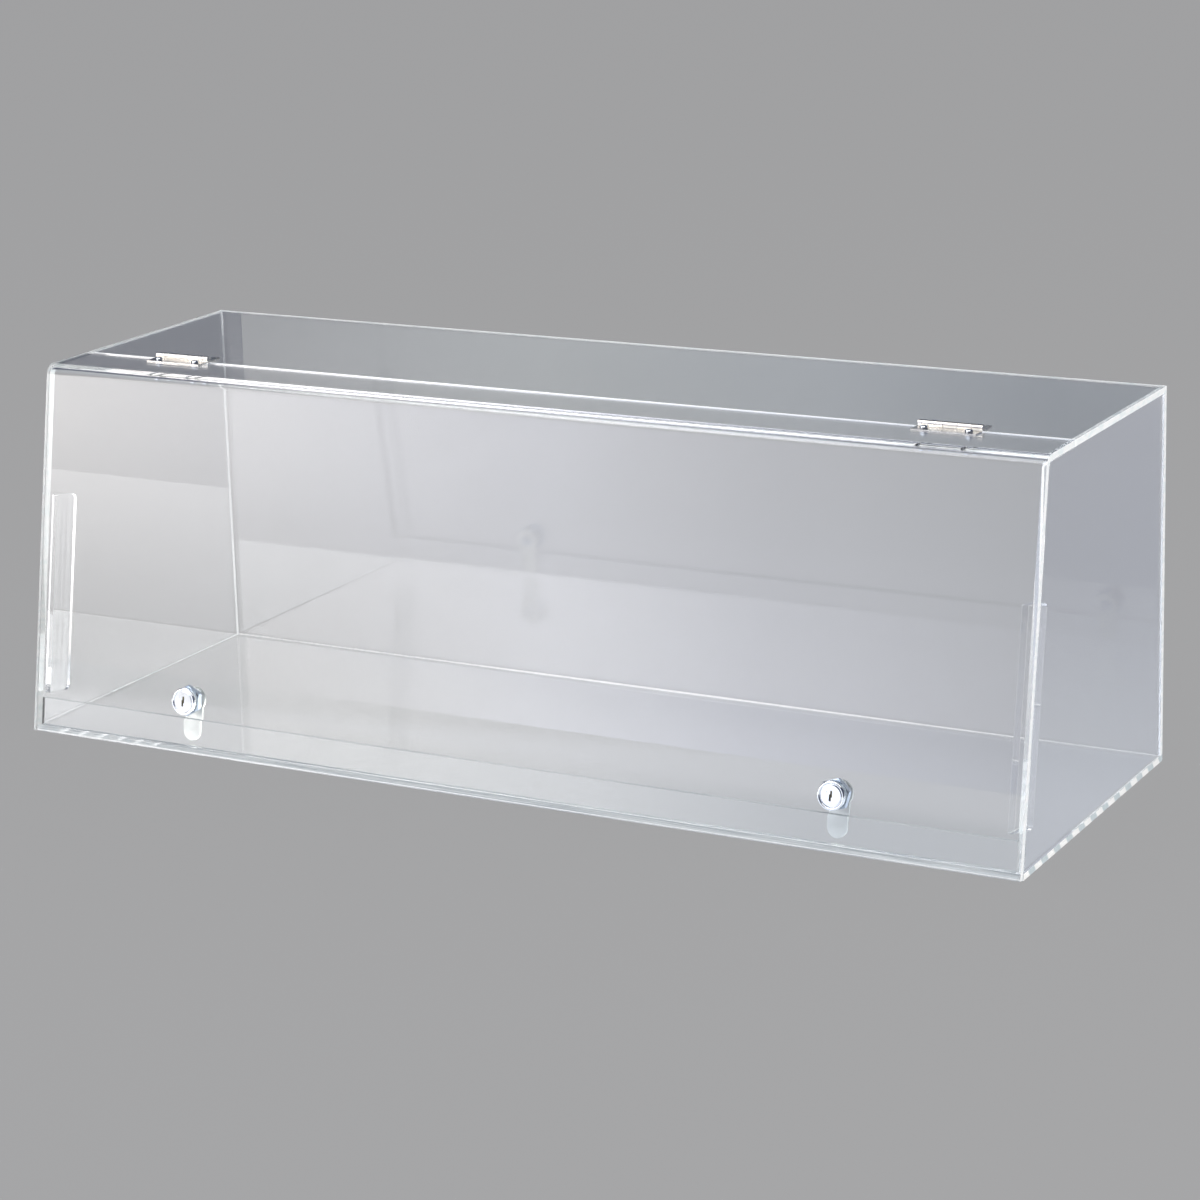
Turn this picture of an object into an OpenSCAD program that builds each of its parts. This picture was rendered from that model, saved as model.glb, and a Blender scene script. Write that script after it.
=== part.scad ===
// Clear sheet case with a sloping front door that is hinged along the top
// and fastened at the foot by two cam locks.
// Frame: origin at the middle of the underside, +X to the right as seen from
// the front, +Y to the back and +Z up. All sizes are in millimetres.

/* [Case] */
// Width of the case over its ends
case_w = 870; // [600:10:1200]
// Depth of the case at its foot
case_d = 300; // [240:10:420]
// Height of the case without its hinges
case_h = 300; // [240:10:420]
// How far the front leans back between its foot and the sharp top corner
front_setback = 50; // [30:5:80]
// Thickness of the clear sheet
sheet_t = 5; // [4:0.5:8]
// Cement line between two glued sheets
glue_line = 0.1; // [0.05:0.05:0.3]

/* [Door] */
// Depth of the flat top strip, from the sharp corner of the bend to the seam
strip_d = 56; // [45:1:80]
// Inner radius of the bend
bend_inner_r = 4; // [2:0.5:6]
// Gap between the inner face of the door and the front edges of the case
front_gap = 1; // [0.6:0.1:2]
// Gap between the top strip and the side panels under it
strip_gap = 0.3; // [0.3:0.1:1]
// Gap at the seam between the top strip and the fixed top
seam_gap = 1; // [0.6:0.1:2]
// Height of the lowest edge of the door above the standing surface
door_lift = 0.8; // [0.5:0.1:3]

/* [Front lip] */
// Height of the top edge of the lip above the underside of the case
lip_h = 27.5; // [20:0.5:45]

/* [Guard ribs] */
// Gap between a guard rib and the side panel beside it
rib_side_gap = 3; // [1:0.5:8]
// Reach of a guard rib behind the door
rib_reach = 26; // [15:1:50]
// Length of a guard rib up the slope
rib_l = 164; // [80:1:200]
// Gap between the foot of a guard rib and the lip
rib_lip_gap = 5; // [3:0.5:12]
// Radius of the two free corners of a guard rib
rib_corner_r = 5; // [1:0.5:7]

/* [Hinges] */
// Distance from each end of the case to the middle of its hinge
hinge_inset = 96; // [60:1:200]
// Length of a hinge along its pin
hinge_l = 51; // [40:1:80]
// Length of the two outer knuckles
end_knuckle_l = 8.5; // [6:0.5:12]
// Width of a leaf from the middle of the pin
leaf_w = 15.5; // [14:0.5:20]
// Thickness of a leaf
leaf_t = 1; // [0.8:0.1:1.4]
// Diameter of a hinge pin
pin_d = 2.9; // [2.5:0.1:3.5]
// Radial clearance between a pin and the knuckles around it
pin_play = 0.05; // [0.02:0.01:0.1]
// Gap between two knuckles
knuckle_gap = 0.3; // [0.3:0.1:1]
// Gap between the knuckles of one leaf and the plate of the other
leaf_relief = 0.5; // [0.4:0.1:1]
// Distance from the middle of the pin to a screw
screw_reach = 9; // [8:0.5:11]
// Distance from the end of a leaf to its nearest screw
screw_end = 7.75; // [6:0.25:15]

/* [Hinge screws] */
// Diameter of a hinge screw
screw_d = 3; // [2.5:0.5:4]
// Diameter of a screw head
head_d = 6; // [5:0.5:7]
// Height of a screw head
head_h = 1.8; // [1.4:0.1:2]
// Length of a screw beyond its nut
screw_tail = 1.1; // [0.5:0.1:3]
// Outer diameter of a washer
washer_d = 7; // [6:0.5:9]
// Thickness of a washer
washer_t = 0.5; // [0.3:0.1:1]
// Width of a nut across its flats
nut_af = 5.5; // [5:0.5:7]
// Height of a nut
nut_h = 2.4; // [1.8:0.1:4]

/* [Fits] */
// Radial clearance of a screw in the holes that it passes through
hole_play = 0.2; // [0.1:0.05:0.5]
// Radial clearance between a thread and its nut
thread_play = 0.05; // [0.02:0.01:0.1]
// Air line between a fastener and what it seats on
seat_line = 0.05; // [0.02:0.01:0.1]

/* [Locks] */
// Distance from each end of the case to the middle of its lock
lock_inset = 149; // [80:1:300]
// Gap between the lock nut's corners and the lip
lock_lip_gap = 1.9; // [1.2:0.1:10]
// Diameter of the rim of a lock
rim_d = 22; // [21:0.5:26]
// Height of the rim above the door
rim_h = 2.4; // [1.8:0.1:3.5]
// Diameter of the threaded barrel
barrel_d = 18.5; // [18:0.5:20]
// Width of the barrel across its two flats
barrel_flats = 16; // [15:0.5:17]
// Length of the barrel behind its nut
barrel_tail = 6; // [5:0.5:10]
// Radial clearance of the barrel in the door
barrel_play = 0.25; // [0.1:0.05:0.5]
// Width of the lock nut across its flats
lock_nut_af = 22; // [22:0.5:26]
// Height of the lock nut
lock_nut_h = 5; // [3:0.5:6]
// Angles of the two lock nuts as they were tightened, left and right
lock_nut_turns = [30, 17];

/* [Lock plugs] */
// Diameter of the plug
plug_d = 12.5; // [12:0.5:13]
// Radial clearance of the plug in the barrel
plug_play = 0.05; // [0.02:0.01:0.1]
// Diameter of the round face of the plug
face_d = 15.8; // [15:0.1:16.5]
// Thickness of the round face of the plug
face_t = 1.4; // [1:0.1:1.6]
// Width of the groove between the face and the rim
face_groove = 0.8; // [0.4:0.1:1]
// Depth of the face below the top of the rim
face_drop = 0.3; // [0:0.1:0.5]
// Number of wafers in a plug
wafer_count = 4; // [3:1:4]
// Distance between two wafers
wafer_pitch = 2; // [1.8:0.1:2.1]
// Thickness of a wafer
wafer_t = 0.8; // [0.5:0.1:1]
// Width of a wafer
wafer_w = 5; // [4.5:0.1:5.5]
// Gap around a wafer in its slot
wafer_play = 0.1; // [0.05:0.05:0.2]
// Height of the keyway
key_h = 8; // [7:0.1:8]
// Width of the upper and of the lower half of the keyway
key_w = 1.7; // [1.2:0.1:1.8]
// Sideways step from one half of the keyway to the other
key_step = 0.8; // [0.4:0.1:0.8]
// Height of the wide middle of the keyway
key_ward_h = 2.2; // [1.6:0.1:3]
// Length of the index mark beside the keyway
mark_l = 2.2; // [1.5:0.1:2.5]
// Width of the index mark
mark_w = 0.9; // [0.5:0.1:1]
// Depth of the index mark
mark_depth = 0.4; // [0.2:0.1:0.5]
// Angle that the plug turns through
plug_turn = 90; // [60:15:120]
// Angle that the stop lug covers
lug_angle = 30; // [20:5:40]
// Reach of the stop lug beyond the plug
lug_reach = 1.5; // [1:0.1:1.6]

/* [Cams] */
// Width of a cam
cam_w = 16; // [14:0.5:18]
// Thickness of a cam
cam_t = 2; // [1.5:0.1:3]
// Diameter of the head of a cam
cam_head_d = 20; // [18:0.5:22]
// Gap between the tip of a cam and the base
cam_foot_gap = 2; // [1:0.5:6]
// Gap between a cam and the end of the barrel
cam_gap = 0.3; // [0.3:0.1:1]
// Width of the square that drives a cam
square_w = 7; // [6:0.5:8]
// Clearance on each side of the driving square
square_play = 0.05; // [0.02:0.01:0.1]
// Diameter of the cam screw
cam_screw_d = 4; // [3:0.5:5]
// Diameter of the cam screw's head
cam_screw_head_d = 7.6; // [6.5:0.1:9]
// Height of the cam screw's head
cam_screw_head_h = 2.4; // [1.8:0.1:3]
// Length of the cam screw under its head
cam_screw_l = 9; // [7:0.5:9]
// Outer diameter of the cam washer
cam_washer_d = 11; // [9.5:0.5:14]
// Thickness of the cam washer
cam_washer_t = 0.8; // [0.5:0.1:1.2]

/* [Hidden] */
$fn = 96;

// Sides, as the sign of X, and the two ways in which a hinge leaf lies
left = -1;
right = 1;
to_case = 1;
to_door = -1;

// Small overshoot of a cut past the face that it opens
cut = 1;

clear_sheet = [0.84, 0.87, 0.90, 0.35];
stainless = [0.78, 0.78, 0.77];
zinc = [0.66, 0.71, 0.77];
chrome = [0.86, 0.87, 0.88];
white_steel = [0.90, 0.91, 0.89];
brass = [0.80, 0.68, 0.42];

// Front face of the case: its lean from the vertical, and the distances of
// the sheets behind it, measured outward from the outer face of the door
lean = atan(front_setback / case_h);
door_back = -sheet_t;
case_front = door_back - front_gap;
case_front_back = case_front - sheet_t;

// Point of the side view, as [y, z], at a distance up the slope and outward
function slope_point(up, out) = [
    -case_d / 2 + up * sin(lean) - out * cos(lean),
    up * cos(lean) + out * sin(lean)
];
// Distance up the slope at which a line parallel to it reaches a height
function up_at(z, out) = (z - out * sin(lean)) / cos(lean);

// Heights and depths of the glued sheets
floor_z = sheet_t + glue_line;
top_under_z = case_h - sheet_t;
wall_top_z = top_under_z - glue_line;
strip_seat_z = top_under_z - strip_gap;
back_inner_y = case_d / 2 - sheet_t - glue_line;
base_front_y = slope_point(up_at(sheet_t, case_front), case_front)[0];
side_inner_x = case_w / 2 - sheet_t;

// Seam between the door and the fixed top
seam_y = -case_d / 2 + front_setback + strip_d;

// Bend and foot of the door
bend_outer_r = bend_inner_r + sheet_t;
door_foot_up = up_at(door_lift, door_back);

lip_top_up = up_at(lip_h, case_front);
rib_foot_up = lip_top_up + rib_lip_gap;

// Hinge: knuckles, pin line and stack of the screws
knuckle_count = 5;
pin_bore_r = pin_d / 2 + pin_play;
knuckle_r = pin_bore_r + leaf_t;
mid_knuckle_l = (hinge_l - 2 * end_knuckle_l) / (knuckle_count - 2);
pin_z = case_h + seat_line + knuckle_r;
pin_recess = 0.3;
head_seat_z = case_h + leaf_t + 2 * seat_line;
washer_top_z = top_under_z - seat_line;
nut_top_z = washer_top_z - washer_t - seat_line;
screw_end_z = nut_top_z - nut_h - screw_tail;
function hinge_x(side) = side * (case_w / 2 - hinge_inset);
function screw_x(side) = [for (way = [-1, 1]) hinge_x(side) + way * (hinge_l / 2 - screw_end)];
function screw_y(way) = seam_y + way * screw_reach;
function is_end(i) = i == 0 || i == knuckle_count - 1;
function knuckle_l(i) = is_end(i) ? end_knuckle_l : mid_knuckle_l;
function knuckle_x(i) = i == 0 ? -hinge_l / 2 : knuckle_x(i - 1) + knuckle_l(i - 1);

// Lock, measured outward from the outer face of the door
lock_nut_r = lock_nut_af / 2 / cos(30);
lock_up = lip_top_up + lock_nut_r + lock_lip_gap;
lock_nut_top = door_back - seat_line;
barrel_end = -(sheet_t + lock_nut_h + barrel_tail);
plug_bore_r = plug_d / 2 + plug_play;
face_top = rim_h - face_drop;
face_back = face_top - face_t;
well_r = face_d / 2 + face_groove;
rim_round = (rim_d / 2 - well_r) / 2;
lug_t = 1.4;
lug_well_r = plug_d / 2 + lug_reach + cam_gap;
lug_play = 1;
first_wafer = face_back - 2.1;
key_end = first_wafer - wafer_count * wafer_pitch;
wafer_hole_w = key_w + key_step + 0.3;
wafer_hole_h = key_h + 0.6;
// Half length of a wafer whose corners stay inside the plug
wafer_half = sqrt(pow(plug_d / 2, 2) - pow(wafer_w / 2, 2)) - wafer_play / 2;

// Cam stack behind the barrel
cam_top = barrel_end - cam_gap;
cam_back = cam_top - cam_t;
cam_washer_top = cam_back - seat_line;
cam_screw_seat = cam_washer_top - cam_washer_t - seat_line;
cam_hole_end = cam_screw_seat + cam_screw_l + cam_gap;
cam_l = lock_up - up_at(sheet_t + cam_foot_gap, cam_back);
function lock_x(side) = side * (case_w / 2 - lock_inset);

// Extrudes a side view, drawn as [y, z], evenly about the middle of the case
module across(length) {
    translate([-length / 2, 0, 0])
        rotate([90, 0, 90])
            linear_extrude(length)
                children();
}

// Places children on the outer face of the door: X along the case, Y up the
// slope and Z outward
module on_slope(x, up) {
    translate([x, -case_d / 2, 0])
        rotate([90 - lean, 0, 0])
            translate([0, up, 0])
                children();
}

// Cylinder along Z from one level to another
module post(d, low, high) {
    translate([0, 0, low])
        cylinder(d = d, h = high - low);
}

// Square corner less its rounding, to be cut from a corner at the origin
module corner_cut(r) {
    difference() {
        square(r);
        translate([r, r])
            circle(r);
    }
}

// Cross recess for a driver, cut down from the origin
module cross_recess(reach, depth) {
    for (turn = [45, 135])
        rotate([0, 0, turn])
            translate([-reach / 2, -reach / 10, -depth])
                cube([reach, reach / 5, depth + cut]);
}

// Pan head screw with its seat at the origin and its shank along -Z
module pan_screw(d, length, head_w, head_high) {
    difference() {
        union() {
            rotate_extrude()
                polygon([
                    [0, 0],
                    [head_w / 2, 0],
                    [head_w / 2, head_high * 0.5],
                    [head_w * 0.4, head_high * 0.88],
                    [head_w * 0.2, head_high],
                    [0, head_high]
                ]);
            post(d, -length, head_high / 2);
        }
        translate([0, 0, head_high])
            cross_recess(head_w * 0.55, head_high * 0.6);
    }
}

// Hexagon nut with both rims of its corners turned down, its top at the origin
module hex_nut(af, height, bore, turn) {
    corner_r = af / 2 / cos(30);
    rim = corner_r - af / 2;
    difference() {
        intersection() {
            rotate([0, 0, turn])
                translate([0, 0, -height])
                    cylinder(r = corner_r, h = height, $fn = 6);
            rotate_extrude()
                polygon([
                    [0, 0],
                    [af / 2, 0],
                    [corner_r + rim, -rim],
                    [corner_r + rim, rim - height],
                    [af / 2, -height],
                    [0, -height]
                ]);
        }
        post(bore, -height - cut, cut);
    }
}

// Floor sheet, under everything else
module base_panel() {
    color(clear_sheet)
        translate([-case_w / 2, base_front_y, 0])
            cube([case_w, case_d / 2 - base_front_y, sheet_t]);
}

// Rear sheet, standing on the floor sheet over the full width
module back_panel() {
    color(clear_sheet)
        translate([-case_w / 2, case_d / 2 - sheet_t, floor_z])
            cube([case_w, sheet_t, wall_top_z - floor_z]);
}

// Fixed part of the roof, from the seam to the back
module top_panel() {
    front_y = seam_y + seam_gap / 2;
    color(clear_sheet)
        difference() {
            translate([-case_w / 2, front_y, top_under_z])
                cube([case_w, case_d / 2 - front_y, sheet_t]);
            hinge_screw_holes(to_case);
        }
}

// Holes for all hinge screws on one side of the seam
module hinge_screw_holes(way) {
    for (side = [left, right])
        for (x = screw_x(side))
            translate([x, screw_y(way), 0])
                post(screw_d + 2 * hole_play, top_under_z - cut, case_h + cut);
}

// What lies outside the rounding of a corner between the sloping front and a
// flat top, in the side view
module corner_waste(out, top_z, r) {
    centre_up = up_at(top_z - r, out - r);
    centre = slope_point(centre_up, out - r);
    difference() {
        polygon([
            centre,
            slope_point(centre_up, out),
            slope_point(centre_up, out + cut),
            slope_point(up_at(top_z, out), out) + [-cut, cut],
            [centre[0], top_z + cut],
            [centre[0], top_z]
        ]);
        translate(centre)
            circle(r);
    }
}

// End sheet: its front edge follows the door, and its corner the bend
module side_panel(side) {
    color(clear_sheet)
        translate([side * (case_w - sheet_t) / 2, 0, 0])
            across(sheet_t)
                difference() {
                    polygon([
                        slope_point(up_at(floor_z, case_front), case_front),
                        slope_point(up_at(strip_seat_z, case_front), case_front),
                        [seam_y, strip_seat_z],
                        [seam_y, wall_top_z],
                        [back_inner_y, wall_top_z],
                        [back_inner_y, floor_z]
                    ]);
                    corner_waste(case_front, strip_seat_z, bend_inner_r);
                }
}

// Low strip behind the foot of the door, which the cams hook behind
module front_lip() {
    length = 2 * (side_inner_x - glue_line);
    color(clear_sheet)
        across(length)
            polygon([
                slope_point(up_at(floor_z, case_front), case_front),
                slope_point(lip_top_up, case_front),
                slope_point(lip_top_up, case_front_back),
                slope_point(up_at(floor_z, case_front_back), case_front_back)
            ]);
}

// Side view of the bent door: sloping front, bend and flat top strip
module door_outline() {
    strip_end_y = seam_y - seam_gap / 2;
    difference() {
        polygon([
            slope_point(door_foot_up, 0),
            slope_point(up_at(case_h, 0), 0),
            [strip_end_y, case_h],
            [strip_end_y, top_under_z - cut],
            slope_point(door_foot_up, door_back - cut)
        ]);
        corner_waste(0, case_h, bend_outer_r);
        difference() {
            polygon([
                slope_point(door_foot_up - 2 * cut, door_back),
                slope_point(up_at(top_under_z, door_back), door_back),
                [strip_end_y + cut, top_under_z],
                [strip_end_y + cut, -cut]
            ]);
            corner_waste(door_back, top_under_z, bend_inner_r);
        }
    }
}

// Door: one bent sheet with holes for its locks and hinges
module door_panel() {
    color(clear_sheet)
        difference() {
            across(case_w)
                door_outline();
            for (side = [left, right])
                on_slope(lock_x(side), lock_up)
                    post(barrel_d + 2 * barrel_play, door_back - cut, cut);
            hinge_screw_holes(to_door);
        }
}

// Upright rib behind one end of the door, closing the way past the side panel
module guard_rib(side) {
    outer_x = side_inner_x - rib_side_gap;
    reach = rib_reach - glue_line;
    color(clear_sheet)
        on_slope(side * (outer_x - sheet_t / 2) - sheet_t / 2, rib_foot_up)
            rotate([90, 0, 90])
                linear_extrude(sheet_t)
                    translate([0, door_back - rib_reach])
                        difference() {
                            square([rib_l, reach]);
                            corner_cut(rib_corner_r);
                            translate([rib_l, 0])
                                mirror([1, 0])
                                    corner_cut(rib_corner_r);
                        }
}

// Hinge leaf with the knuckles of its own: the outer and middle ones on the
// case and the other two on the door
module hinge_leaf(side, way) {
    plate_start = knuckle_r + leaf_relief;
    own = [for (i = [0 : knuckle_count - 1]) if ((i % 2 == 0) == (way == to_case)) i];
    color(stainless)
        difference() {
            translate([hinge_x(side), seam_y, pin_z])
                difference() {
                    union() {
                        translate([-hinge_l / 2, min(way * plate_start, way * leaf_w), -knuckle_r])
                            cube([hinge_l, leaf_w - plate_start, leaf_t]);
                        for (i = own)
                            knuckle(i, way, plate_start);
                    }
                    translate([-hinge_l / 2 - cut, 0, 0])
                        rotate([0, 90, 0])
                            cylinder(r = pin_bore_r, h = hinge_l + 2 * cut);
                }
            for (x = screw_x(side))
                translate([x, screw_y(way), 0])
                    post(screw_d + 2 * hole_play, case_h - cut, pin_z + knuckle_r);
        }
}

// One knuckle and the tongue that joins it to its leaf
module knuckle(i, way, plate_start) {
    length = knuckle_l(i) - knuckle_gap;
    translate([knuckle_x(i) + knuckle_gap / 2, 0, 0]) {
        rotate([0, 90, 0])
            cylinder(r = knuckle_r, h = length);
        translate([0, way > 0 ? 0 : -plate_start - cut, -knuckle_r])
            cube([length, plate_start + cut, leaf_t]);
    }
}

// Pin through the five knuckles
module hinge_pin(side) {
    color(stainless)
        translate([hinge_x(side) - hinge_l / 2 + pin_recess, seam_y, pin_z])
            rotate([0, 90, 0])
                cylinder(d = pin_d, h = hinge_l - 2 * pin_recess);
}

// Screws of one leaf
module hinge_screws(side, way) {
    color(stainless)
        for (x = screw_x(side))
            translate([x, screw_y(way), head_seat_z])
                pan_screw(screw_d, head_seat_z - screw_end_z, head_d, head_h);
}

// Washers of one leaf, under the sheet
module hinge_washers(side, way) {
    color(stainless)
        for (x = screw_x(side))
            translate([x, screw_y(way), washer_top_z])
                difference() {
                    post(washer_d, -washer_t, 0);
                    post(screw_d + 2 * hole_play, -washer_t - cut, cut);
                }
}

// Nuts of one leaf, under the washers
module hinge_nuts(side, way) {
    color(stainless)
        for (x = screw_x(side))
            translate([x, screw_y(way), nut_top_z])
                hex_nut(nut_af, nut_h, screw_d + 2 * thread_play, 0);
}

// Sector of a disc from one angle to another
module sector(r, from, to, low, high) {
    translate([0, 0, low])
        rotate([0, 0, from])
            rotate_extrude(angle = to - from)
                square([r, high - low]);
}

// Lock housing: rounded rim outside the door and flatted barrel through it
module lock_housing(side) {
    flange_r = rim_d / 2;
    color(chrome)
        on_slope(lock_x(side), lock_up)
            difference() {
                union() {
                    rotate_extrude() {
                        translate([0, seat_line])
                            square([flange_r, rim_h - rim_round - seat_line]);
                        translate([flange_r - rim_round, rim_h - rim_round])
                            circle(rim_round);
                    }
                    intersection() {
                        post(barrel_d, barrel_end, rim_h / 2);
                        translate([-barrel_flats / 2, -barrel_d, barrel_end])
                            cube([barrel_flats, 2 * barrel_d, rim_h - barrel_end]);
                    }
                }
                post(2 * well_r, face_back - plug_play, rim_h + cut);
                post(2 * plug_bore_r, barrel_end - cut, rim_h + cut);
                sector(
                    lug_well_r,
                    -plug_turn - lug_angle / 2 - lug_play,
                    lug_angle / 2 + lug_play,
                    barrel_end - cut,
                    barrel_end + lug_t + plug_play
                );
            }
}

// Nut that clamps the housing to the door from behind
module lock_nut(side) {
    color(zinc)
        on_slope(lock_x(side), lock_up)
            translate([0, 0, lock_nut_top])
                hex_nut(
                    lock_nut_af,
                    lock_nut_h,
                    barrel_d + 2 * thread_play,
                    lock_nut_turns[side == left ? 0 : 1]
                );
}

// Stepped keyway, seen from outside: upper half, lower half and wide middle
module keyway() {
    translate([key_step / 2 - key_w / 2, 0])
        square([key_w, key_h / 2]);
    translate([-key_step / 2 - key_w / 2, -key_h / 2])
        square([key_w, key_h / 2]);
    square([key_w + key_step, key_ward_h], center = true);
}

// Index mark at the upper left of the keyway, from its depth up past the face
module index_mark() {
    translate([-face_d / 6, face_d / 5, face_top + cut - mark_depth])
        rotate([0, 0, 50])
            cube([mark_l, mark_w, 2 * cut], center = true);
}

// Plug: face with its keyway, wafer slots, stop lug and driving square
module lock_plug(side) {
    color(chrome)
        on_slope(lock_x(side), lock_up)
            difference() {
                union() {
                    post(face_d, face_back, face_top);
                    post(plug_d, barrel_end, face_top - face_t / 2);
                    sector(
                        plug_d / 2 + lug_reach,
                        -lug_angle / 2,
                        lug_angle / 2,
                        barrel_end,
                        barrel_end + lug_t
                    );
                    translate([-square_w / 2, -square_w / 2, cam_back])
                        cube([square_w, square_w, barrel_end - cam_back + cut]);
                }
                translate([0, 0, key_end])
                    linear_extrude(face_top + cut - key_end)
                        keyway();
                index_mark();
                for (i = [0 : wafer_count - 1])
                    translate([0, 0, first_wafer - i * wafer_pitch])
                        cube([
                            wafer_w + 2 * wafer_play,
                            plug_d + cut,
                            wafer_t + 2 * wafer_play
                        ], center = true);
                post(cam_screw_d + 2 * thread_play, cam_back - cut, cam_hole_end);
            }
}

// Wafers of one lock, drawn in level with the plug as a key holds them
module lock_wafers(side) {
    color(brass)
        on_slope(lock_x(side), lock_up)
            for (i = [0 : wafer_count - 1])
                translate([0, 0, first_wafer - i * wafer_pitch])
                    difference() {
                        cube([wafer_w, 2 * wafer_half, wafer_t], center = true);
                        cube([wafer_hole_w, wafer_hole_h, wafer_t + cut], center = true);
                    }
}

// Cam: round head on the driving square and straight arm down behind the lip
module lock_cam(side) {
    color(white_steel)
        on_slope(lock_x(side), lock_up)
            difference() {
                union() {
                    post(cam_head_d, cam_back, cam_top);
                    translate([-cam_w / 2, cam_w / 2 - cam_l, cam_back])
                        cube([cam_w, cam_l - cam_w / 2, cam_t]);
                    translate([0, cam_w / 2 - cam_l, 0])
                        post(cam_w, cam_back, cam_top);
                }
                cube([
                    square_w + 2 * square_play,
                    square_w + 2 * square_play,
                    2 * (cut - cam_back)
                ], center = true);
            }
}

// Washer between the cam and its screw
module cam_washer(side) {
    color(zinc)
        on_slope(lock_x(side), lock_up)
            difference() {
                post(cam_washer_d, cam_washer_top - cam_washer_t, cam_washer_top);
                post(cam_screw_d + 2 * hole_play, cam_screw_seat - cut, cam_washer_top + cut);
            }
}

// Screw that holds the cam on the plug
module cam_screw(side) {
    color(zinc)
        on_slope(lock_x(side), lock_up)
            translate([0, 0, cam_screw_seat])
                mirror([0, 0, 1])
                    pan_screw(cam_screw_d, cam_screw_l, cam_screw_head_d, cam_screw_head_h);
}

base_panel();
back_panel();
top_panel();
side_panel(left);  // left_side_panel
side_panel(right);  // right_side_panel
front_lip();
door_panel();
guard_rib(left);  // left_guard_rib
guard_rib(right);  // right_guard_rib
hinge_leaf(left, to_case);  // left_case_leaf
hinge_leaf(right, to_case);  // right_case_leaf
hinge_leaf(left, to_door);  // left_door_leaf
hinge_leaf(right, to_door);  // right_door_leaf
hinge_pin(left);  // left_hinge_pin
hinge_pin(right);  // right_hinge_pin
hinge_screws(left, to_case);  // left_case_screws
hinge_screws(right, to_case);  // right_case_screws
hinge_screws(left, to_door);  // left_door_screws
hinge_screws(right, to_door);  // right_door_screws
hinge_washers(left, to_case);  // left_case_washers
hinge_washers(right, to_case);  // right_case_washers
hinge_washers(left, to_door);  // left_door_washers
hinge_washers(right, to_door);  // right_door_washers
hinge_nuts(left, to_case);  // left_case_nuts
hinge_nuts(right, to_case);  // right_case_nuts
hinge_nuts(left, to_door);  // left_door_nuts
hinge_nuts(right, to_door);  // right_door_nuts
lock_housing(left);  // left_lock_housing
lock_housing(right);  // right_lock_housing
lock_nut(left);  // left_lock_nut
lock_nut(right);  // right_lock_nut
lock_plug(left);  // left_lock_plug
lock_plug(right);  // right_lock_plug
lock_wafers(left);  // left_lock_wafers
lock_wafers(right);  // right_lock_wafers
lock_cam(left);  // left_lock_cam
lock_cam(right);  // right_lock_cam
cam_washer(left);  // left_cam_washer
cam_washer(right);  // right_cam_washer
cam_screw(left);  // left_cam_screw
cam_screw(right);  // right_cam_screw
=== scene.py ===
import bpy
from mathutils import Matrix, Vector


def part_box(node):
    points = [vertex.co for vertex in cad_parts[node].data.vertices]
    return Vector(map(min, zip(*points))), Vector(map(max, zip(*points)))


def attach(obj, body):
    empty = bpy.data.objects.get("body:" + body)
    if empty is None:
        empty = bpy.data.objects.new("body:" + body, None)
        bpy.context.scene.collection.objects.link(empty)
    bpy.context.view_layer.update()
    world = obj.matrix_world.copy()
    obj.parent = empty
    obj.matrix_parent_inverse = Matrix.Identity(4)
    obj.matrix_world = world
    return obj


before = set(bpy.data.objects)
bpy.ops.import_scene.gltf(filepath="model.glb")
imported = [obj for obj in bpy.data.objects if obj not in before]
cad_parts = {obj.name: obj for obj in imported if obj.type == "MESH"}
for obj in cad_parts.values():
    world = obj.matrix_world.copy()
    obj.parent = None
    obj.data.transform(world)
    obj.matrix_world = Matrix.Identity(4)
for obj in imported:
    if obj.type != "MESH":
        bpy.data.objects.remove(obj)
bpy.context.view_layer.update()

import math

import bpy
import numpy as np
from mathutils import Matrix, Vector

# --- Camera ---------------------------------------------------------------------------------
# A long lens a little above the case and to its right, so that the door, the top and the
# right end all show. It is turned by yaw, then pitch, then a slight roll. The lens is lowered a
# little instead of tipped further, which keeps the case's uprights nearly upright.
camera_place = (1.2804, -2.2899, 0.8601)
camera_yaw, camera_pitch, camera_roll = 28.774, -13.721, 1.607
camera_lens, lens_drop = 102.66, -0.1

eye = bpy.data.cameras.new("eye")
eye.lens, eye.sensor_width, eye.shift_y = camera_lens, 36, lens_drop
eye.clip_start, eye.clip_end = 0.02, 200
camera = bpy.data.objects.new("camera", eye)
bpy.context.scene.collection.objects.link(camera)
camera.matrix_world = (
    Matrix.Translation(camera_place)
    @ Matrix.Rotation(math.radians(camera_yaw), 4, "Z")
    @ Matrix.Rotation(math.radians(camera_pitch), 4, "X")
    @ Matrix.Rotation(math.radians(camera_roll), 4, "Y")
    @ Matrix.Rotation(math.radians(90), 4, "X")
)
bpy.context.scene.camera = camera
bpy.context.scene.view_settings.view_transform = "Standard"
# Light crosses the faces of many sheets before it leaves the case, so its paths are long.
tracing = bpy.context.scene.cycles
tracing.max_bounces, tracing.transmission_bounces, tracing.glossy_bounces = 48, 40, 24


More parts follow.
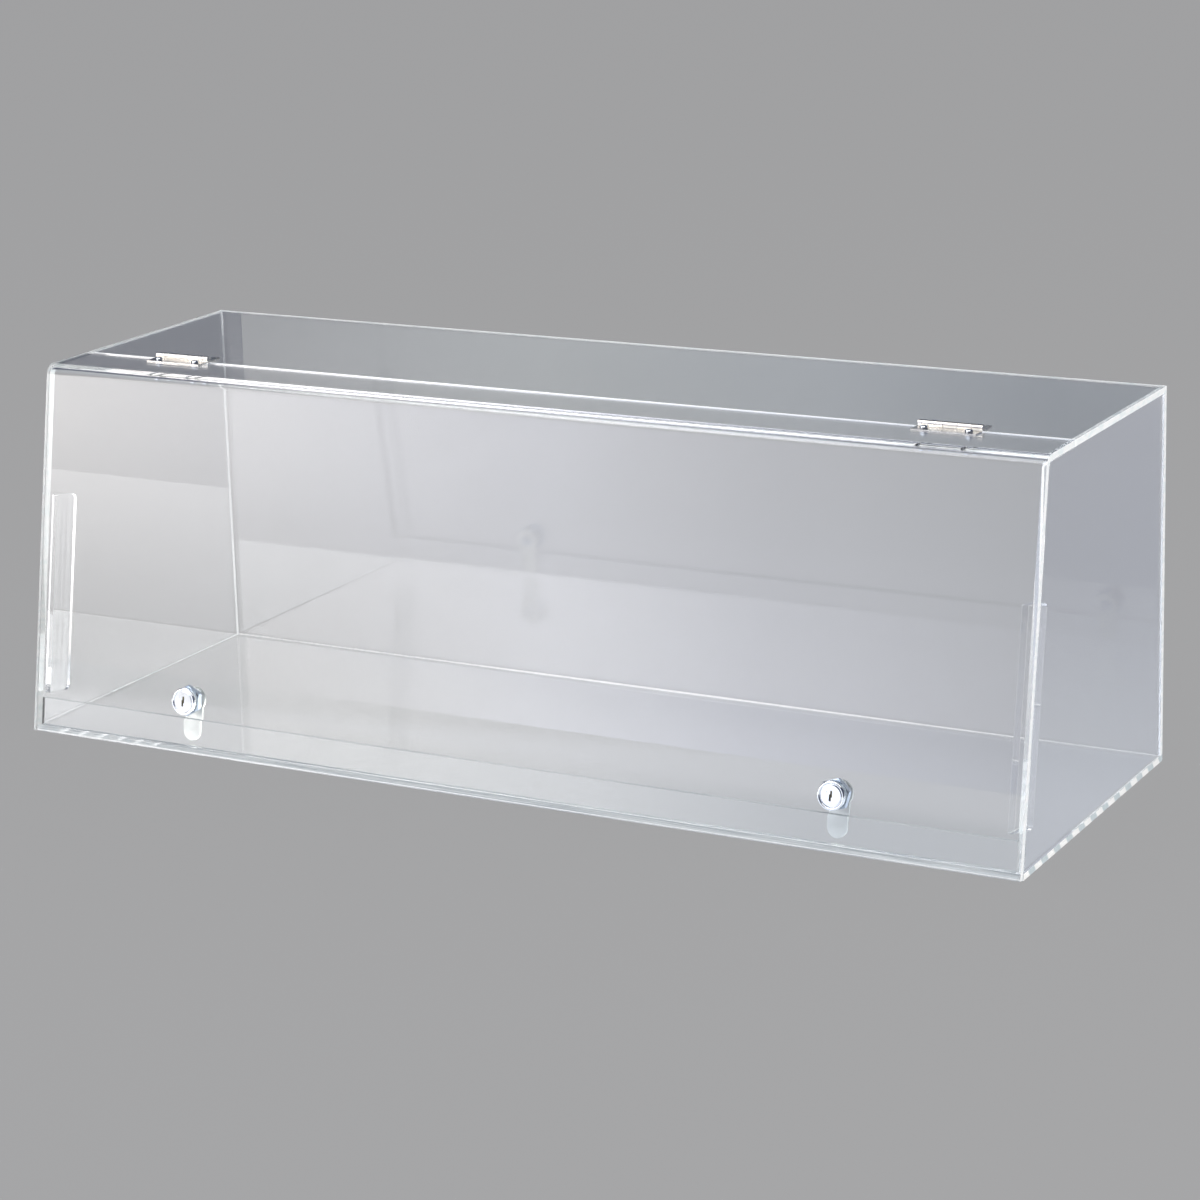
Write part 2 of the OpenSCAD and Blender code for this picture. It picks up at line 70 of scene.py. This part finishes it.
# --- Studio ---------------------------------------------------------------------------------
# A plain grey floor that runs out to a wall of the same grey, three soft lamps and a soft fill
# from all round. Glowing cards at front left, overhead, behind and along the floor show only
# where something shiny mirrors them.
class Field:
    """A shader socket in a sum: each operator adds one Math node to the finish it is part of."""

    def __init__(self, finish, socket):
        self.finish, self.socket = finish, socket

    def sum(self, operation, *terms):
        return self.finish.node("ShaderNodeMath", {"operation": operation}, *terms)

    def __add__(self, other):
        return self.sum("ADD", self, other)

    def __radd__(self, other):
        return self.sum("ADD", other, self)

    def __sub__(self, other):
        return self.sum("SUBTRACT", self, other)

    def __rsub__(self, other):
        return self.sum("SUBTRACT", other, self)

    def __mul__(self, other):
        return self.sum("MULTIPLY", self, other)

    def __rmul__(self, other):
        return self.sum("MULTIPLY", other, self)

    def __truediv__(self, other):
        return self.sum("DIVIDE", self, other)

    def __abs__(self):
        return self.sum("ABSOLUTE", self)

    def __gt__(self, other):
        return self.sum("GREATER_THAN", self, other)

    def __lt__(self, other):
        return self.sum("LESS_THAN", self, other)

    def ramp(self, start, end):
        """0 at start, 1 at end, held outside them and eased between."""
        return self.finish.node(
            "ShaderNodeMapRange", {"interpolation_type": "SMOOTHSTEP"}, self, start, end, 0.0, 1.0
        )

    def along(self, start, end):
        """0 at start, 1 at end, in a straight line."""
        return (self - start) / (end - start)


class Finish:
    """A material's or the world's node tree, written as expressions on Field."""

    def __init__(self, owner):
        owner.use_nodes = True
        self.owner, self.tree = owner, owner.node_tree
        self.tree.nodes.clear()

    def node(self, kind, settings=None, *values, out=0, **named):
        """Adds a node, sets its settings, then gives its sockets their values or links."""
        made = self.tree.nodes.new(kind)
        for key, value in (settings or {}).items():
            if key == "stops":
                ramp = made.color_ramp.elements
                while len(ramp) < len(value):
                    ramp.new(0.5)
                for stop, (place, colour) in zip(ramp, value):
                    stop.position, stop.color = place, (*colour, 1)
            else:
                setattr(made, key, value)
        for key, value in [*enumerate(values), *named.items()]:
            if value is None:
                continue
            socket = made.inputs[key if isinstance(key, int) else key.replace("_", " ")]
            if isinstance(value, Field):
                self.tree.links.new(value.socket, socket)
            else:
                socket.default_value = value
        return Field(self, made.outputs[out]) if made.outputs else made

    def mix(self, share, first, second):
        """First colour to second colour by share."""
        made = self.node("ShaderNodeMix", {"data_type": "RGBA"}, share, out=2)
        for index, colour in ((6, first), (7, second)):
            socket = made.socket.node.inputs[index]
            if isinstance(colour, Field):
                self.tree.links.new(colour.socket, socket)
            else:
                socket.default_value = (*colour, 1)
        return made

    def blend(self, share, first, second):
        """First shader to second shader by share."""
        return self.node("ShaderNodeMixShader", None, share, first, second)

    def stops(self, where, *stops):
        """Colours in a row: each stop is a place from 0 to 1 and the colour there."""
        return self.node("ShaderNodeValToRGB", {"stops": stops}, where)

    def scaled(self, colour, level):
        return self.node("ShaderNodeVectorMath", {"operation": "SCALE"}, colour, Scale=level)

    def axes(self, vector):
        made = self.node("ShaderNodeSeparateXYZ", None, vector).socket.node
        return [Field(self, socket) for socket in made.outputs]

    def place(self):
        """Object coordinates, in metres in the case's own frame."""
        return self.node("ShaderNodeTexCoord", out="Object")

    def stretched(self, grain):
        """Object coordinates times a factor for each axis."""
        return self.node("ShaderNodeVectorMath", {"operation": "MULTIPLY"}, self.place(), grain)

    def facing(self):
        """The surface's own direction in the case's frame."""
        return self.node("ShaderNodeTexCoord", out="Normal")

    def noise(self, place, scale, detail):
        return self.node("ShaderNodeTexNoise", None, place, None, scale, detail)

    def bump(self, strength, distance, height):
        return self.node("ShaderNodeBump", None, strength, distance, Height=height)

    def surface(self, **values):
        return self.node("ShaderNodeBsdfPrincipled", None, **values)

    def transparent(self, colour=(1.0, 1.0, 1.0)):
        return self.node("ShaderNodeBsdfTransparent", None, (*colour, 1))

    def path(self, kind):
        return self.node("ShaderNodeLightPath", out=kind)

    def close(self, shader, kind="ShaderNodeOutputMaterial"):
        self.node(kind, None, shader)
        return self.owner


studio_grey, wall_tone = (0.366, 0.366, 0.372), (0.070, 0.082, 0.125)
fill_tone, fill_strength = (0.97, 0.98, 1.0), 0.6
floor_reach, floor_z, card_z = 30, -0.0006, -0.0003
flat_share = 0.92


def mesh_object(name, points, faces):
    """An object at the origin, with its place in its points."""
    mesh = bpy.data.meshes.new(name)
    mesh.from_pydata(points.tolist(), [], faces)
    made = bpy.data.objects.new(name, mesh)
    bpy.context.scene.collection.objects.link(made)
    return made


def flat_card(name, corner, across, along):
    """A flat four-sided card: its corner plus any share of two edge vectors."""
    corner, across, along = (np.array(v, float) for v in (corner, across, along))
    points = np.array([corner, corner + across, corner + across + along, corner + along])
    card = mesh_object(name, points, [(0, 1, 2, 3)])
    return card


floor = flat_card("floor", (-floor_reach, -floor_reach, floor_z), (2 * floor_reach, 0, 0),
                  (0, 2 * floor_reach, 0))
paint = Finish(bpy.data.materials.new("floor_paint"))
lit = paint.node("ShaderNodeBsdfDiffuse", None, (*studio_grey, 1))
flat = paint.node("ShaderNodeEmission", None, (*studio_grey, 1), 1.0)
through = paint.path("Is Glossy Ray") + paint.path("Is Transmission Ray")
share = paint.path("Is Camera Ray") * flat_share + (through > 0.5)
floor.data.materials.append(paint.close(paint.blend(share, lit, flat)))

world = bpy.data.worlds.new("studio")
bpy.context.scene.world = world
air = Finish(world)
plain = air.node("ShaderNodeBackground", None, (*studio_grey, 1), 1.0)
fill = air.node("ShaderNodeBackground", None, (*fill_tone, 1), fill_strength)
wall = air.node("ShaderNodeBackground", None, (*wall_tone, 1), 1.0)
sight = air.blend(air.path("Glossy Depth") > 0.5, plain, wall)
seen = air.path("Is Camera Ray") + air.path("Is Glossy Ray") + air.path("Is Transmission Ray")
air.close(air.blend(seen > 0.5, fill, sight), "ShaderNodeOutputWorld")


def soft_light(name, corner, across, along, strength, tone):
    """A card that glows only for mirrors; tone is its colour along itself."""
    card = flat_card(name, corner, across, along)
    glow = Finish(bpy.data.materials.new(name))
    shine = glow.node("ShaderNodeEmission", None, tone(glow), strength)
    front = 1 - glow.node("ShaderNodeNewGeometry", out="Backfacing")
    mirrored = glow.path("Glossy Depth") > 0.5
    card.data.materials.append(
        glow.close(glow.blend(mirrored * front, glow.transparent(), shine))
    )
    card.data.materials[0].cycles.emission_sampling = "NONE"
    card.visible_camera = card.visible_diffuse = card.visible_shadow = False


def key_tone(glow):
    """Brightest at far left; its left end fades downwards and its right end upwards."""
    x, y, z = glow.axes(glow.place())
    tone = glow.stops(
        x.along(-2.4, -0.3),
        (0.0, (0.90, 0.86, 0.84)), (0.3, (0.68, 0.67, 0.71)), (0.52, (0.61, 0.62, 0.71)),
        (0.7, (0.32, 0.33, 0.41)), (1.0, (0.12, 0.13, 0.17)),
    )
    rise, right = z.ramp(0.0, 0.5), x.ramp(-1.9, -0.7)
    left_level, right_level = rise * 0.92 + 0.27, 1.15 - rise * 0.5
    high_loss = z.ramp(0.5, 0.6) * (x.ramp(-1.7, -1.2) * 0.34 + 0.18)
    corner_loss = 0.8 * (x < -2.35) * (z > 0.56)
    end_loss = x.ramp(-0.45, 0.15) * 0.85
    level = (1 - right) * left_level + right * right_level
    return glow.scaled(tone, level * (1 - high_loss) * (1 - corner_loss) * (1 - end_loss))


corner_dim = 0.8


def past_corner(x, y):
    """1 left of a line that runs forward and left from the case's left rear corner, else 0."""
    return x + 0.533 < y * 0.70


def floor_tone(glow):
    """Bright under the middle, dimmer right of a line that runs forward and left; grey afar."""
    x, y, z = glow.axes(glow.place())
    beside = x - (y + 0.12) * 0.5
    near = glow.stops(
        beside.along(-0.9, 0.5),
        (0.0, (0.88, 0.88, 0.90)), (0.3, (0.80, 0.80, 0.83)), (0.40, (0.66, 0.66, 0.69)),
        (0.5, (0.66, 0.67, 0.69)), (0.68, (0.66, 0.68, 0.71)), (0.85, (0.45, 0.48, 0.53)),
    )
    afar = glow.mix(x.ramp(-1.3, -0.75), (0.36, 0.37, 0.39), (0.78, 0.80, 0.86))
    tone = glow.mix(y.ramp(-1.5, -0.9), afar, near)
    return glow.scaled(tone, 1 - corner_dim * ((y > -1.0) * past_corner(x, y)))


def under_tone(glow):
    """Bright under the case's left and middle, dimmer at right."""
    x, y, z = glow.axes(glow.place())
    tone = glow.stops(
        (x - y * 0.5).along(-0.84, 0.56),
        (0.0, (0.98, 0.98, 1.0)), (0.45, (1.0, 1.0, 1.0)), (0.68, (0.70, 0.72, 0.76)),
        (0.85, (0.42, 0.45, 0.50)), (1.0, (0.34, 0.37, 0.42)),
    )
    return glow.scaled(tone, 1 - corner_dim * past_corner(x, y))


def high_tone(glow):
    """Brightest left of the middle, blue-grey at right."""
    x, y, z = glow.axes(glow.place())
    return glow.stops(
        x.along(-0.935, 0.165),
        (0.0, (0.64, 0.67, 0.73)), (0.12, (0.78, 0.82, 0.88)), (0.36, (1.00, 1.07, 1.12)),
        (0.68, (0.80, 0.88, 0.99)), (0.9, (0.47, 0.55, 0.67)),
    )


def rear_tone(glow):
    """A pale patch close behind the case that fades into the floor's grey further back."""
    x, y, z = glow.axes(glow.place())
    return glow.mix(y.ramp(1.25, 0.6) * x.ramp(0.44, 0.2), studio_grey, (1.38, 1.38, 1.40))


def right_tone(glow):
    """A pale patch beside the right end that fades into blue-grey."""
    x, y, z = glow.axes(glow.place())
    fade = x.ramp(0.85, 0.45) * y.ramp(0.75, 0.1)
    return glow.mix(fade, (0.36, 0.385, 0.49), (0.60, 0.64, 0.74))


def low_tone(glow):
    """Bright at left, dimmer at right and there more at its foot than above."""
    x, y, z = glow.axes(glow.place())
    across = x.along(-0.95, 0.05)
    foot = glow.stops(
        across,
        (0.28, (0.86, 0.86, 0.87)), (0.45, (0.80, 0.81, 0.84)), (0.62, (0.44, 0.45, 0.48)),
        (0.8, (0.41, 0.43, 0.47)),
    )
    head = glow.stops(
        across,
        (0.0, (0.75, 0.75, 0.76)), (0.35, (0.96, 0.96, 0.96)), (0.6, (0.86, 0.87, 0.90)),
        (0.9, (0.72, 0.75, 0.81)),
    )
    return glow.mix(z.ramp(0.15, 0.24), foot, head)


def top_tone(glow):
    """Even white."""
    return 1, 1, 1, 1


def bend_tone(glow):
    """Dark at its left end, then white, dying away to the right."""
    x, y, z = glow.axes(glow.place())
    return glow.stops(
        x.along(-2.4, 0.0),
        (0.0, (0.10, 0.11, 0.13)), (0.36, (0.14, 0.15, 0.18)), (0.42, (1.0, 1.0, 1.0)),
        (0.62, (0.85, 0.87, 0.90)), (0.8, (0.36, 0.38, 0.42)), (1.0, (0.22, 0.24, 0.28)),
    )


soft_light("key_glow", (-3.6, -2.6, 0.0), (0, 0, 2.6), (3.8, 0, 0), 4.7, key_tone)
soft_light("floor_glow", (-3.6, -2.6, card_z), (4.5, 0, 0), (0, 2.45, 0), 1.9, floor_tone)
soft_light("under_glow", (-0.85, -0.15, card_z), (1.284, 0, 0), (0, 0.3, 0), 3.2, under_tone)
soft_light("rear_glow", (-0.6, 0.15, card_z), (1.034, 0, 0), (0, 1.15, 0), 1.0, rear_tone)
soft_light("right_glow", (0.436, -0.15, card_z), (1.2, 0, 0), (0, 2.0, 0), 1.0, right_tone)
soft_light("back_glow", (-1.4, 0.62, 0.0), (2.0, 0, 0), (0, 0, 0.36), 0.8, low_tone)
soft_light("high_glow", (-0.935, 0.9, 0.42), (1.3, 0, 0), (0, 0, 0.6), 0.38, high_tone)
soft_light("top_glow", (-0.4, -1.1, 1.7), (0, 1.0, 0), (1.9, 0, 0), 2.4, top_tone)
soft_light("bend_glow", (-2.4, -2.5, 2.0), (0, 2.2, 0), (2.6, 0, 0), 7.0, bend_tone)

# Three lamps light the matt surfaces, from front left, overhead and front right.
for name, place, aim, wide, high, power in (
    ("key_lamp", (-1.5, -2.6, 0.9), (0, 0, 0.1), 2.0, 1.3, 34),
    ("top_lamp", (0.3, -0.5, 1.9), (0, 0, 0.1), 1.9, 1.4, 26),
    ("end_lamp", (2.1, -0.9, 0.9), (0.4, 0, 0.15), 1.2, 1.0, 22),
):
    lamp = bpy.data.lights.new(name, "AREA")
    lamp.shape, lamp.size, lamp.size_y, lamp.energy = "RECTANGLE", wide, high, power
    stand = bpy.data.objects.new(name, lamp)
    stand.matrix_world = (
        Matrix.Translation(place)
        @ (Vector(place) - Vector(aim)).to_track_quat("Z", "Y").to_matrix().to_4x4()
    )
    stand.visible_camera = stand.visible_glossy = stand.visible_transmission = False
    bpy.context.scene.collection.objects.link(stand)


# --- Case sheets ----------------------------------------------------------------------------
# Base, back, top and two ends: cast acrylic sheet 5 mm thick, bright on its faces. Open edges
# are sawn and scraped white, but the left ends are kept nearly clear as painted shade; the base's
# front edge is dull from the planer. Where a sheet is glued to the next, the two run into one
# another, but for a few bubbles in the joint.
base_low, base_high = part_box("base_panel")
sheet = base_high[2] - base_low[2]
end_x, rear_y = base_high[0] - sheet, base_high[1] - sheet
front_y, front_setback, case_h = -0.150, 0.050, 0.300
seam_y, lowest_line, seat_slack, acrylic_ior = -0.0447, 0.0008, 0.0003, 1.49
# Outward from the leaning front, and up it.
lip_face, lip_top = -0.006, 0.02888


def dress(finish, *names):
    """Gives CAD nodes a finish on their own material slots."""
    for name in names:
        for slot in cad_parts[name].material_slots:
            slot.material = finish


def sides(clear):
    """1 where the surface faces right, left, back, front, up or down, else 0."""
    return [turned for axis in clear.axes(clear.facing()) for turned in (axis > 0.5, axis < -0.5)]


def slope(clear):
    """Distance up the leaning front and outward from it."""
    x, y, z = clear.axes(clear.place())
    lean = math.atan2(front_setback, case_h)
    forward = y - front_y
    return (forward * math.sin(lean) + z * math.cos(lean),
            z * math.sin(lean) - forward * math.cos(lean))


def scraped(clear):
    """White of a scraped edge, with short greyer strokes across it."""
    stroke = clear.noise(clear.stretched((90.0, 90.0, 300.0)), 1.0, 3.0)
    return clear.mix(stroke.ramp(0.36, 0.56), (0.86, 0.91, 0.91), (0.99, 0.99, 0.98))


def dulled(clear):
    """Grey of an edge left as the planer cut it, in fine lines along it."""
    line = clear.noise(clear.stretched((14.0, 400.0, 1300.0)), 1.0, 1.0)
    return clear.mix(line.ramp(0.38, 0.62), (0.36, 0.39, 0.42), (0.62, 0.64, 0.65))


def chattered(clear):
    """Edge of the base: saw chatter leaves bright and grey patches in turn; its front is dull."""
    x, y, z = clear.axes(clear.place())
    right, left, rear, front, up, down = sides(clear)
    saw_marks = y * 80 + z * 60
    turn = clear.node("ShaderNodeMath", {"operation": "PINGPONG"}, saw_marks, 1.0)
    grain = clear.noise(clear.place(), 500.0, 2.0)
    grey = clear.mix(grain, (0.50, 0.57, 0.59), (0.70, 0.76, 0.77))
    patches = clear.mix(turn.ramp(0.40, 0.54), grey, (1.0, 0.99, 0.96))
    lines = clear.mix(z < lowest_line, dulled(clear), (1.0, 1.0, 1.0))
    return clear.mix(front, patches, lines)


def acrylic(name, masks, milk=scraped):
    """Clear acrylic. masks(clear) gives the shares of it that are sawn white and glued."""
    clear = Finish(bpy.data.materials.new(name))
    place = clear.place()
    body = clear.surface(
        Base_Color=(0.985, 0.99, 0.992, 1), Roughness=0.0, IOR=acrylic_ior,
        Transmission_Weight=1.0, Normal=clear.bump(0.03, 0.0005, clear.noise(place, 9.0, 1.0)),
    )
    matt = clear.surface(
        Base_Color=milk(clear), Roughness=0.45, IOR=acrylic_ior,
        Normal=clear.bump(0.35, 0.0005, clear.noise(place, 300.0, 4.0)),
    )
    sawn, glued = masks(clear)
    joined = clear.blend(glued, body, clear.transparent())
    right, left, rear, front, up, down = sides(clear)
    bubbles = glued * (up + down) * clear.noise(place, 900.0, 1.0).ramp(0.54, 0.62) * 0.5
    faced = clear.blend(sawn * 0.96 + bubbles, joined, matt)
    tinted = clear.transparent((0.97, 0.98, 0.98))
    return clear.close(clear.blend(clear.path("Is Shadow Ray"), faced, tinted))


def sawn_ends_shaded_left(right, left):
    """The right ends are sawn and left white; the left ones are kept nearly clear as painted
    shade, so that they come out dimmer.
    """
    # Painted shade: the left ends get only a small share of the white sawn finish.
    return right + left * 0.08


def base_masks(clear):
    """Rear edge nearly polished, front edge dull; glued where the upright sheets stand on it."""
    right, left, rear, front, up, down = sides(clear)
    x, y, z = clear.axes(clear.place())
    under = (abs(x) > end_x) + (y > rear_y) + (y < base_low[1] + sheet)
    return sawn_ends_shaded_left(right, left) + rear * 0.2 + front * 0.85, up * (under > 0.5)


def top_masks(clear):
    """Front and rear edges scraped; glued where it lies on the ends and the back."""
    right, left, rear, front, up, down = sides(clear)
    x, y, z = clear.axes(clear.place())
    seat = (abs(x) > end_x) + (y > rear_y)
    return sawn_ends_shaded_left(right, left) + (rear + front), down * (seat > 0.5)


def back_masks(clear):
    """Glued along its top and foot, and where the ends meet its face."""
    right, left, rear, front, up, down = sides(clear)
    x, y, z = clear.axes(clear.place())
    return sawn_ends_shaded_left(right, left), (up + down) + front * (abs(x) > end_x)


def end_masks(clear):
    """Front edge scraped, and made whiter on the left end as painted light; top edge matt under
    its glue; the others run into what they touch.
    """
    right, left, rear, front, up, down = sides(clear)
    x, y, z = clear.axes(clear.place())
    risen, out = slope(clear)
    lip = ((abs(x) < end_x + seat_slack) * (out < lip_face) * (out > lip_face - sheet)
           * (risen < lip_top))
    under_top = up * (y > seam_y)
    # Painted light: the left end's front edge gets a larger white share than the right end's.
    scraped_front_painted_left = front * (0.25 + 0.35 * (x < 0))
    return under_top * 0.75 + scraped_front_painted_left, down + under_top + rear + lip


dress(acrylic("acrylic_top", top_masks), "top_panel")
dress(acrylic("acrylic_base", base_masks, chattered), "base_panel")
dress(acrylic("acrylic_back", back_masks), "back_panel")
dress(acrylic("acrylic_ends", end_masks), "left_side_panel", "right_side_panel")


# --- Cement bead ----------------------------------------------------------------------------
# Solvent cement squeezed out along the foot of the back panel, where it has set as a hollow
# bead. It breaks into drops towards the left end and thins towards the right one.
bead_leg, bead_end_gap, bead_gap = 0.0013, 0.0004, 0.0002
drops_from, drops_over = -0.12, 0.12
thin_from, thin_over, thin_loss = 0.05, 0.3, 0.35


def bead_grid(n_along=900, n_round=7):
    """Rings of a hollow quarter round, which dips in from the panel and from the base by one
    minus the sine and one minus the cosine of its turn. Its leg thins to the right, wavers by a
    product and a sum of sines of x, and breaks into drops at left."""
    x = np.linspace(-end_x + bead_end_gap, end_x - bead_end_gap, n_along)
    beat = np.sin(x * 1700) * np.sin(x * 613 + 1.0) + 0.6 * np.sin(x * 2900 + 2.0)
    drops = np.clip((drops_from - x) / drops_over, 0, 1)
    thin = 1 - thin_loss * np.clip((x - thin_from) / thin_over, 0, 1)
    even, broken = 1 + 0.08 * beat, np.clip(0.55 + beat, 0.1, 1.3)
    leg = bead_leg * thin * ((1 - drops) * even + drops * broken)
    turn = np.linspace(0, math.pi / 2, n_round)
    behind = np.full((n_along, 1), rear_y - bead_gap)
    above = np.full((n_along, 1), base_high[2] + bead_gap)
    ring_y = np.concatenate([behind - leg[:, None] * (1 - np.sin(turn)), behind], 1)
    ring_z = np.concatenate([above + leg[:, None] * (1 - np.cos(turn)), above], 1)
    return np.stack([np.repeat(x[:, None], n_round + 1, 1), ring_y, ring_z], 2)


def tube_mesh(name, grid):
    """Joins rings of points into a closed skin with a cap on each end."""
    rows, count = grid.shape[:2]
    i, j = np.meshgrid(np.arange(rows - 1), np.arange(count), indexing="ij")
    k = (j + 1) % count
    quads = np.stack([i * count + j, i * count + k, (i + 1) * count + k, (i + 1) * count + j], 2)
    caps = [tuple(range(count))[::-1], tuple(range((rows - 1) * count, rows * count))]
    piece = mesh_object(name, grid.reshape(-1, 3), quads.reshape(-1, 4).tolist() + caps)
    smooth = np.ones(len(piece.data.polygons), bool)
    piece.data.polygons.foreach_set("use_smooth", smooth)
    return piece


cement = tube_mesh("cement_bead", bead_grid())
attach(cement, "case")
set_cement = Finish(bpy.data.materials.new("set_cement"))
x, y, z = set_cement.axes(set_cement.place())
fleck = set_cement.noise(set_cement.place(), 1200.0, 2.0)
milky = set_cement.surface(
    Base_Color=set_cement.mix(fleck, (0.93, 0.91, 0.90), (1.0, 0.99, 0.98)), Roughness=0.35,
    Alpha=0.80 - x.ramp(0.0, 0.42) * 0.45 - fleck.ramp(0.5, 0.7) * 0.1,
)
cement.data.materials.append(set_cement.close(milky))


# --- Guard ribs -----------------------------------------------------------------------------
# A narrow strip of the same sheet stands edge on behind each end of the door. Its rear edge is
# sawn white on the left rib and made whiter there as painted highlight; the right rib is
# polished, and its arrises carry painted highlights as thin matt white lines.
# Up the leaning front, then outward from it.
rib_foot, rib_top = 0.03388, 0.19788
rib_front, rib_rear, arris = -0.0051, -0.0311, 0.0008


def rib_masks(clear):
    """Rear edge matt white on the left rib only, partly sawn and partly painted highlight of the
    key light; painted highlight lines along the arrises on the right one.
    """
    right, left, rear, front, up, down = sides(clear)
    x, y, z = clear.axes(clear.place())
    risen, out = slope(clear)
    # Painted highlight: only the left rib's rear edge is made matt white.
    sawn_rear_and_highlight = (1 - right - left) * rear * (x < 0)
    # Painted highlights: matt white strips along the right rib's arrises.
    highlight_rim = ((out > rib_front - arris) + (out < rib_rear + arris)
           + (risen > rib_top - arris) + (risen < rib_foot + arris)) > 0.5
    line = (right + left) * highlight_rim * (x > 0)
    return sawn_rear_and_highlight * 0.9 + line * 0.7, right * (x > 0)


dress(acrylic("acrylic_rib", rib_masks), "left_guard_rib", "right_guard_rib")


# --- Door and lip ---------------------------------------------------------------------------
# One sheet, heated and bent over to form the door with a strip of the top; it hangs from the
# hinges. Its ends, its foot and the rear edge of its strip are scraped white, its left end kept
# nearly clear as painted shade. The lip below it is glued on the base.
foot_z = 0.0018


def door_masks(clear):
    """Ends, foot and the strip's rear edge scraped; nothing glued."""
    right, left, rear, front, up, down = sides(clear)
    x, y, z = clear.axes(clear.place())
    return sawn_ends_shaded_left(right, left) + (y > seam_y) * rear + (z < foot_z) * down, 0.0


def lip_masks(clear):
    """Top edge matt; glued at its ends and its foot."""
    right, left, rear, front, up, down = sides(clear)
    return up * 0.8, right + left + down


dress(acrylic("acrylic_door", door_masks), "door_panel")
dress(acrylic("acrylic_lip", lip_masks, dulled), "front_lip")


# --- Hinges ---------------------------------------------------------------------------------
# Two small stainless butt hinges: leaves stamped from rolled strip, the knuckles curled round a
# pin. The strip keeps its fine rolling grain and a slightly warm tone, duller where it is bent.
def metal(name, bright, dull, grain, rough, relief=0.0, wear=70.0):
    """Bare or plated metal: grain is a stretch per axis, relief the depth of its lines, and wear
    the scale of the clouds that dull it."""
    bare = Finish(bpy.data.materials.new(name))
    line = bare.noise(bare.stretched(grain), 1.0, 3.0)
    cloud = bare.noise(bare.place(), wear, 2.0)
    return bare.close(
        bare.surface(
            Metallic=1.0,
            Base_Color=bare.mix(line * 0.6 + cloud.ramp(0.3, 0.7) * 0.4, bright, dull),
            Roughness=cloud.ramp(0.25, 0.75) * 0.08 + line * 0.06 + rough,
            Normal=bare.bump(relief, 0.0002, line),
        )
    )


strip_steel = metal("hinge_steel", (0.95, 0.92, 0.87), (0.66, 0.62, 0.56), (60, 1400, 1400), 0.20,
                    0.10)
pin_steel = metal("pin_steel", (0.84, 0.83, 0.81), (0.55, 0.54, 0.52), (1200, 200, 200), 0.16)
for side in ("left_", "right_"):
    dress(strip_steel, side + "case_leaf", side + "door_leaf")
    dress(pin_steel, side + "hinge_pin")


# --- Screws, washers and nuts ---------------------------------------------------------------
# Small machine screws through the leaves and the sheet, with a washer and nut underneath. They
# are steel with a thin bright zinc plate that keeps a cool tint.
screw_zinc = metal("screw_zinc", (0.86, 0.89, 0.94), (0.58, 0.61, 0.66), (500, 500, 1600), 0.17)
washer_zinc = metal("washer_zinc", (0.90, 0.91, 0.93), (0.68, 0.69, 0.71), (900, 900, 300), 0.24)
for side in ("left_", "right_"):
    dress(screw_zinc, side + "case_screws", side + "door_screws", side + "case_nuts",
          side + "door_nuts")
    dress(washer_zinc, side + "case_washers", side + "door_washers")


# --- Locks ----------------------------------------------------------------------------------
# Cam locks held through the door by a nut. The housing and plug are die cast and chromed, the
# nut and cam screw zinc plated a steely blue, and the cam is nickelled, dull from tumbling.
lock_chrome = metal("lock_chrome", (0.96, 0.97, 0.98), (0.82, 0.84, 0.86), (300, 300, 300), 0.05)
nut_zinc = metal("nut_zinc", (0.62, 0.70, 0.80), (0.36, 0.42, 0.50), (500, 500, 500), 0.20)
cam_nickel = metal("cam_nickel", (0.93, 0.94, 0.89), (0.80, 0.82, 0.77), (120, 120, 30), 0.36)
wafer_brass = metal("wafer_brass", (0.86, 0.70, 0.38), (0.50, 0.38, 0.20), (800, 800, 800), 0.24)
for side in ("left_", "right_"):
    dress(lock_chrome, side + "lock_housing", side + "lock_plug")
    dress(nut_zinc, side + "lock_nut", side + "cam_screw", side + "cam_washer")
    dress(cam_nickel, side + "lock_cam")
    dress(wafer_brass, side + "lock_wafers")
